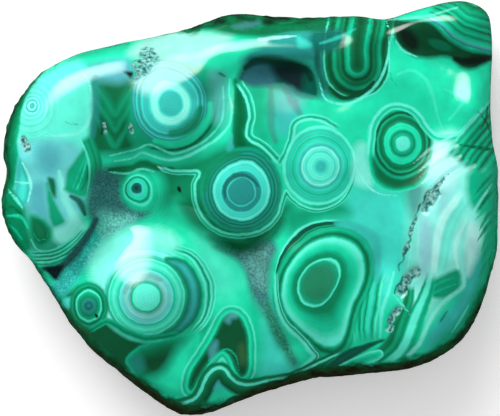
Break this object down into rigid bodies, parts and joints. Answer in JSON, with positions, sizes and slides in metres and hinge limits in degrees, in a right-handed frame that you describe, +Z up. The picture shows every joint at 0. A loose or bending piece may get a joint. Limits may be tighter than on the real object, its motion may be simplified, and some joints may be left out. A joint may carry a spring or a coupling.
{
  "type": "polished malachite freeform",
  "caption": "Hand-sized lump of banded malachite with a polished, gently domed face of concentric eyes, a natural lumpy rind and a sawn flat back, for display.",
  "frame": {"origin": "on the sawn back, under the middle of the stone's box", "axes": "+X along the stone's length, to the right of its face; +Z up out of the polished face"},
  "size_m": [0.1112, 0.0926, 0.0303],
  "materials": {
    "malachite": "polished face over banded green malachite, dark natural rind on the sides, ground matt on the sawn back"
  },
  "bodies": {
    "root": {"malachite_stone": "malachite"}
  },
  "joints": []
}
